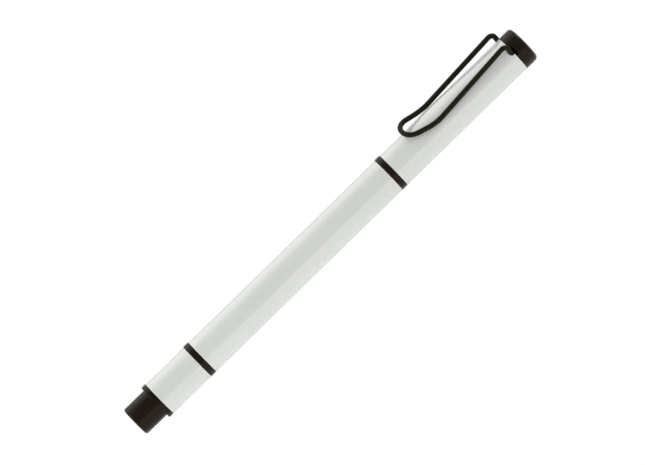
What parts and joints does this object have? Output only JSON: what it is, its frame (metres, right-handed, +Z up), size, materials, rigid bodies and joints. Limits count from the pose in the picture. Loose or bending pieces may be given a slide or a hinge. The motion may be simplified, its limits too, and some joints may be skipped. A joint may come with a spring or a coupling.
{
  "type": "technical pen",
  "caption": "Capped drawing pen with a wire pocket clip: tubular drawing nib under the long cap, broad fibre nib under the short tail cap.",
  "frame": {"origin": "under the middle of the pen's length, on the surface it lies on", "axes": "+X along the pen from the tail plug to the cap's crown, +Z up, with the clip on top of the cap"},
  "size_m": [0.1454, 0.011, 0.0137],
  "materials": {
    "white_shell": "smooth semi-gloss white",
    "black_shell": "smooth glossy black",
    "black_wire": "black coated spring wire, satin",
    "natural_plastic": "natural, slightly milky",
    "blue_plastic": "coloured line-width ring",
    "seal_rubber": "matte",
    "steel": "ground stainless",
    "brass": "turned",
    "fibre": "bundled fibre",
    "inked_felt": "pressed fibre soaked with ink"
  },
  "bodies": {
    "barrel": {"barrel_tube": "white_shell", "rear_section": "black_shell", "broad_nib": "inked_felt", "fibre_reservoir": "fibre", "divider_plug": "natural_plastic"},
    "front_unit": {"grip_section": "black_shell", "section_seal": "seal_rubber", "line_width_ring": "blue_plastic", "nib_body": "natural_plastic", "nib_shoulder": "steel", "nib_tube": "steel", "chamber_plug": "natural_plastic"},
    "cleaning_weight": {"drop_weight": "brass", "cleaning_wire": "steel"},
    "cartridge": {"ink_cartridge": "natural_plastic"},
    "clip_cap": {"cap_tube": "white_shell", "cap_crown": "black_shell", "inner_cap": "natural_plastic", "nib_seal_pad": "seal_rubber"},
    "clip": {"clip_wire": "black_wire"},
    "tail_cap": {"tail_cap_tube": "white_shell", "tail_plug": "black_shell", "tail_cap_liner": "natural_plastic"}
  },
  "joints": [
    {"name": "section_pull", "type": "slide", "parent": "barrel", "child": "front_unit", "axis": [1, 0, 0], "range_m": [0, 0.033]},
    {"name": "cartridge_pull", "type": "slide", "parent": "front_unit", "child": "cartridge", "axis": [-1, 0, 0], "range_m": [0, 0.0062]},
    {"name": "weight_slide", "type": "slide", "parent": "front_unit", "child": "cleaning_weight", "axis": [1, 0, 0], "range_m": [0, 0.0018]},
    {"name": "cap_pull", "type": "slide", "parent": "front_unit", "child": "clip_cap", "axis": [1, 0, 0], "range_m": [0, 0.034]},
    {"name": "clip_flex", "type": "hinge", "parent": "clip_cap", "child": "clip", "pos_m": [0.06783, 0, 0.00548], "axis": [0, 1, 0], "range_deg": [0, 5], "stiffness_Nm_per_rad": 1},
    {"name": "tail_cap_pull", "type": "slide", "parent": "barrel", "child": "tail_cap", "axis": [-1, 0, 0], "range_m": [0, 0.02]}
  ]
}
